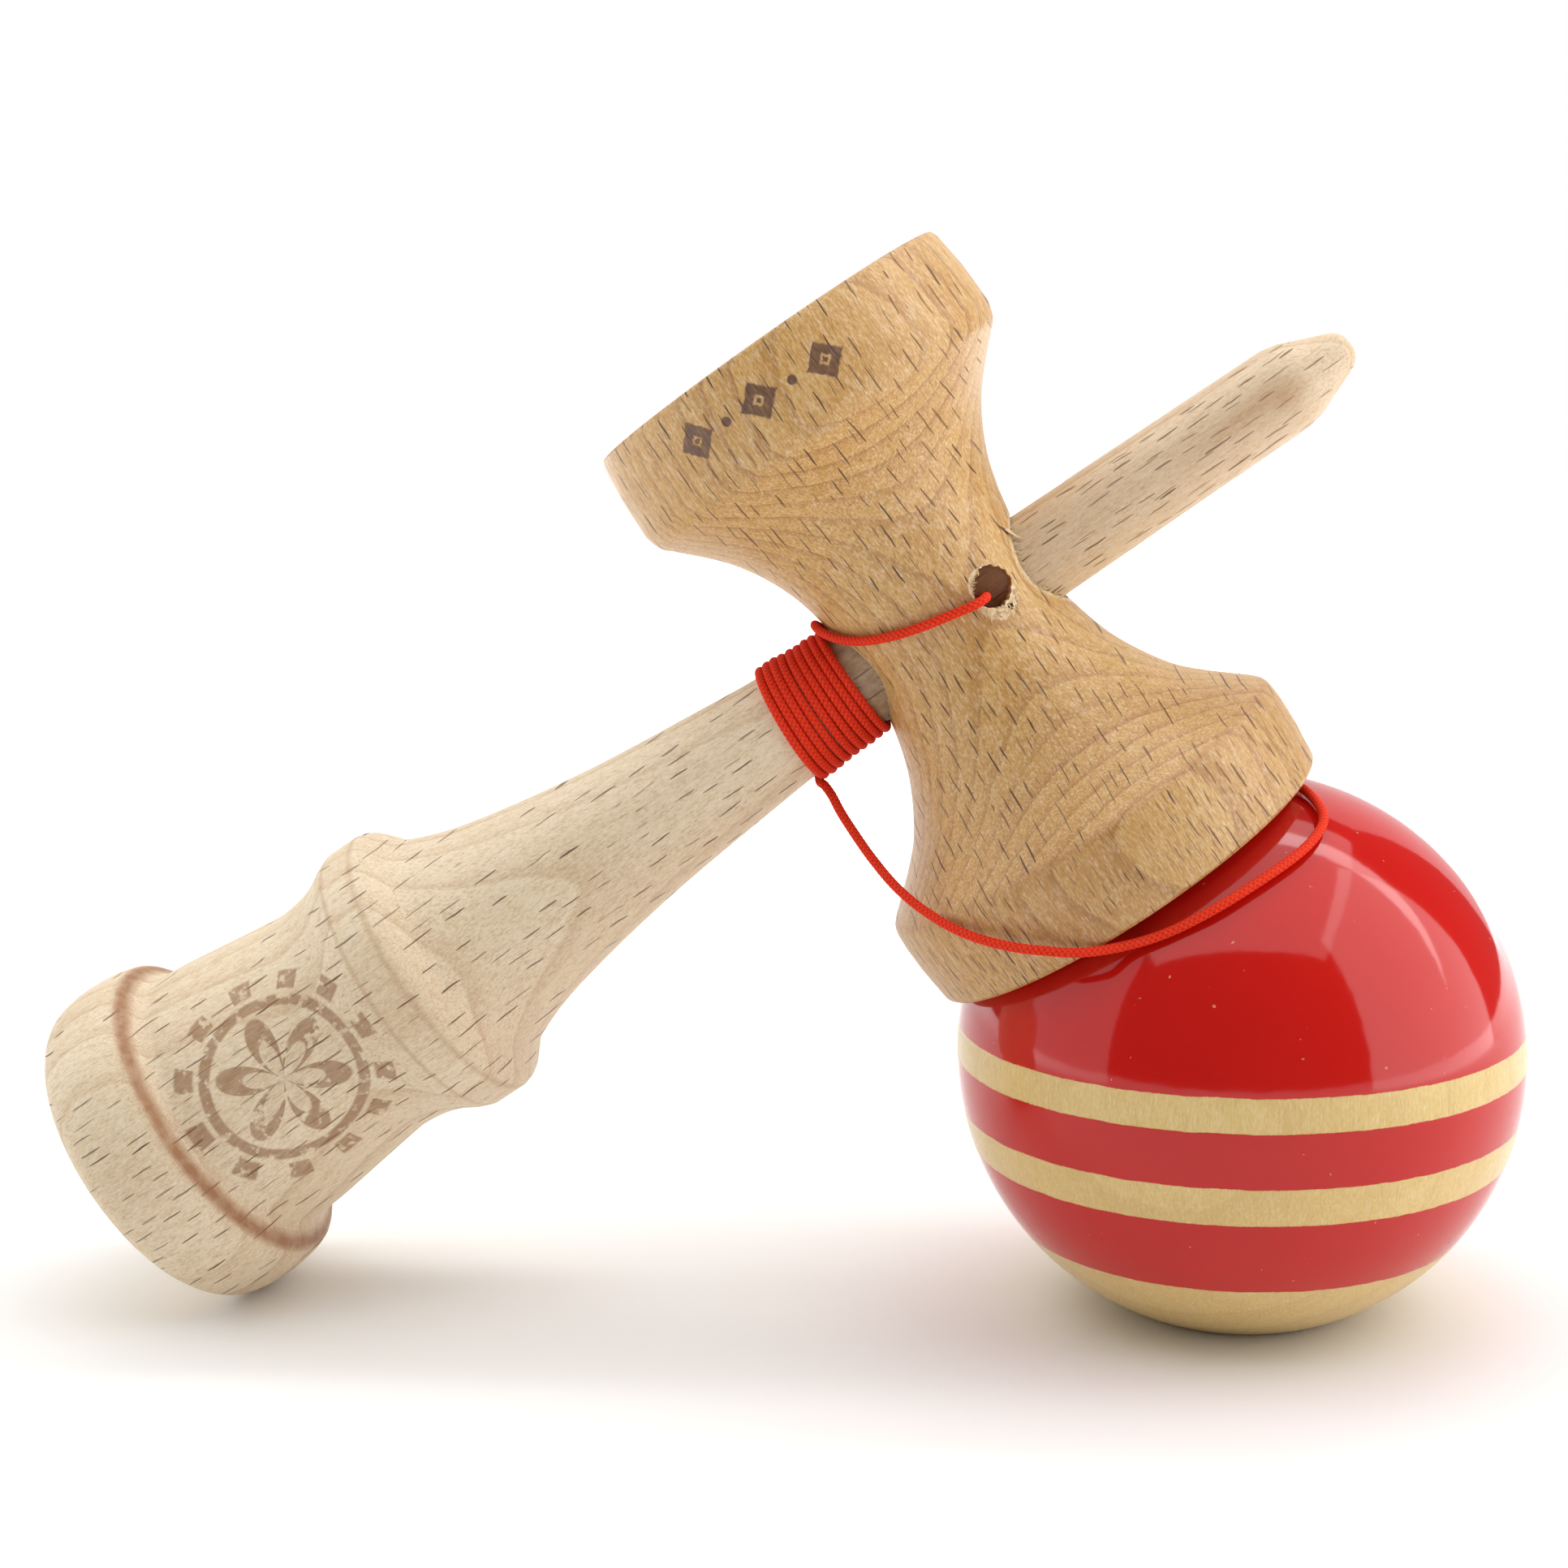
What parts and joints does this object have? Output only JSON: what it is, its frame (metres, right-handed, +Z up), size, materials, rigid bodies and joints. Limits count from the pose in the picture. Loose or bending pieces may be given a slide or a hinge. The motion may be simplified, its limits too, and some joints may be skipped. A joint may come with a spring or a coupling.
{
  "type": "kendama",
  "caption": "Kendama at rest: a turned handle with a spike, a cross-piece with two cups, and a drilled ball tied on by a string, part of which is wound on the neck.",
  "frame": {"origin": "on the surface that the toy stands on, under the middle of the wooden parts' overall box", "axes": "+Z up; +X from the handle's base cup towards its spike, level; the handle and both cup axes lie in the XZ plane, and the string loop hangs on the -Y side"},
  "size_m": [0.16, 0.06, 0.1143],
  "materials": {
    "handle_wood": "sanded, unfinished pale beech",
    "cross_piece_wood": "sanded, unfinished golden beech",
    "ball_lacquer": "gloss red lacquer with two stripes and the foot left as bare wood",
    "string_braid": "braided synthetic cord",
    "bead_wood": "plain turned wood"
  },
  "bodies": {
    "ken": {"ken": "handle_wood"},
    "sarado": {"sarado": "cross_piece_wood", "sarado_knot": "string_braid", "string_lead": "string_braid", "string_winding": "string_braid", "string_loop": "string_braid"},
    "bead": {"tama_bead": "bead_wood", "tama_knot": "string_braid", "string_inner": "string_braid"},
    "tama": {"tama": "ball_lacquer"}
  },
  "joints": [
    {"name": "sarado_slide", "type": "slide", "parent": "ken", "child": "sarado", "axis": [0.8342, 0, 0.5515], "range_m": [0, 0.075]},
    {"name": "tama_lift", "type": "slide", "parent": "sarado", "child": "bead", "axis": [0.5515, 0, -0.8342], "range_m": [0, 0.04], "deforming": ["string_loop"]},
    {"name": "tama_spin", "type": "hinge", "parent": "bead", "child": "tama", "pos_m": [0.04999, 0, 0.0275], "axis": [0, 0, 1], "continuous": true}
  ]
}
